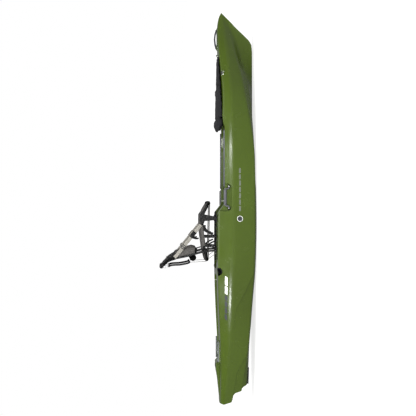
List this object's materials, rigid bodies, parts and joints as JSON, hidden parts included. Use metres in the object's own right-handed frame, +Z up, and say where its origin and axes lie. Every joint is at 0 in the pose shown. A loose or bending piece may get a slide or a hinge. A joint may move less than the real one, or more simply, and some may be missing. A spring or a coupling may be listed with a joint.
{
  "type": "sit-on-top fishing kayak",
  "caption": "Sit-on-top fishing kayak with hollow moulded hull, framed folding seat on rails, gear tracks, carry handles, rod holders and a soft bow cover.",
  "frame": {"origin": "middle of the hull's length and beam, at the lowest point of the keel", "axes": "+X towards the bow, +Y to port, +Z up"},
  "size_m": [3.711, 0.8866, 0.891],
  "materials": {
    "hull_plastic": "rotomoulded polyethylene, light gloss",
    "black_plastic": "moulded",
    "black_tube": "black powder coat",
    "aluminium": "anodised",
    "steel": "stainless",
    "rubber": "soft grip",
    "seat_fabric": "coated woven",
    "mesh_fabric": "spacer mesh",
    "grey_webbing": "woven webbing",
    "black_webbing": "woven webbing",
    "cord": "braided cord",
    "cover_fabric": "coated woven",
    "foam": "closed-cell foam"
  },
  "bodies": {
    "hull": {"hull": "hull_plastic", "skid_plate": "black_plastic", "seat_rails": "black_plastic", "rail_screws": "steel", "gear_tracks": "aluminium", "track_caps": "black_plastic", "track_screws": "steel", "handle_anchors": "black_plastic", "anchor_screws": "steel", "bow_handle": "rubber", "rod_holders": "black_plastic", "brace_rails": "aluminium", "floor_pads": "foam", "lid_hinges": "black_plastic", "bow_cover": "cover_fabric", "cover_roll": "cover_fabric", "cover_buckle": "black_plastic", "cover_tabs": "black_plastic", "cover_hook": "black_plastic"},
    "seat": {"seat_feet": "black_plastic", "rear_legs": "black_tube", "front_legs": "black_plastic", "seat_frame": "black_tube", "seat_brackets": "black_plastic", "pivot_lugs": "black_tube", "seat_pan": "seat_fabric", "pan_cords": "cord", "tie_cords": "cord", "pull_straps": "black_webbing", "tie_straps": "black_webbing"},
    "backrest": {"back_frame": "black_tube", "back_struts": "black_tube", "back_panel": "seat_fabric", "head_mesh": "mesh_fabric", "lumbar_pad": "mesh_fabric", "side_straps": "grey_webbing", "strap_sliders": "black_plastic", "rear_straps": "black_webbing", "strap_rings": "steel", "recline_cords": "cord"},
    "handle_port": {"handle_port": "rubber"},
    "handle_starboard": {"handle_starboard": "rubber"},
    "pedal_port": {"pedal_port": "black_plastic"},
    "pedal_starboard": {"pedal_starboard": "black_plastic"},
    "bin_lid": {"bin_lid": "black_plastic"},
    "lid_knob": {"lid_knob": "black_plastic"},
    "drain_plug": {"drain_plug": "black_plastic"}
  },
  "joints": [
    {"name": "seat_slide", "type": "slide", "parent": "hull", "child": "seat", "axis": [1, 0, 0], "range_m": [-0.075, 0.02]},
    {"name": "backrest_fold", "type": "hinge", "parent": "seat", "child": "backrest", "pos_m": [-0.4, 0, 0.472], "axis": [0, 1, 0], "range_deg": [0, 55], "deforming": ["side_straps", "strap_sliders", "recline_cords"]},
    {"name": "handle_port_swing", "type": "hinge", "parent": "hull", "child": "handle_port", "pos_m": [0.096, 0.421, 0.262], "axis": [-1, 0, 0], "range_deg": [0, 60]},
    {"name": "handle_starboard_swing", "type": "hinge", "parent": "hull", "child": "handle_starboard", "pos_m": [0.096, -0.421, 0.262], "axis": [1, 0, 0], "range_deg": [0, 60]},
    {"name": "pedal_port_slide", "type": "slide", "parent": "hull", "child": "pedal_port", "axis": [1, 0, 0], "range_m": [-0.13, 0.18]},
    {"name": "pedal_starboard_slide", "type": "slide", "parent": "hull", "child": "pedal_starboard", "axis": [1, 0, 0], "range_m": [-0.13, 0.18]},
    {"name": "bin_lid_open", "type": "hinge", "parent": "hull", "child": "bin_lid", "pos_m": [0.553, 0, 0.1562], "axis": [0, 1, 0], "range_deg": [0, 100]},
    {"name": "lid_knob_turn", "type": "hinge", "parent": "bin_lid", "child": "lid_knob", "pos_m": [0.186, 0, 0.16], "axis": [0, 0, 1], "range_deg": [0, 90]},
    {"name": "drain_plug_turn", "type": "hinge", "parent": "hull", "child": "drain_plug", "pos_m": [-1.491, 0, 0.367], "axis": [0, 0, 1], "continuous": true}
  ]
}
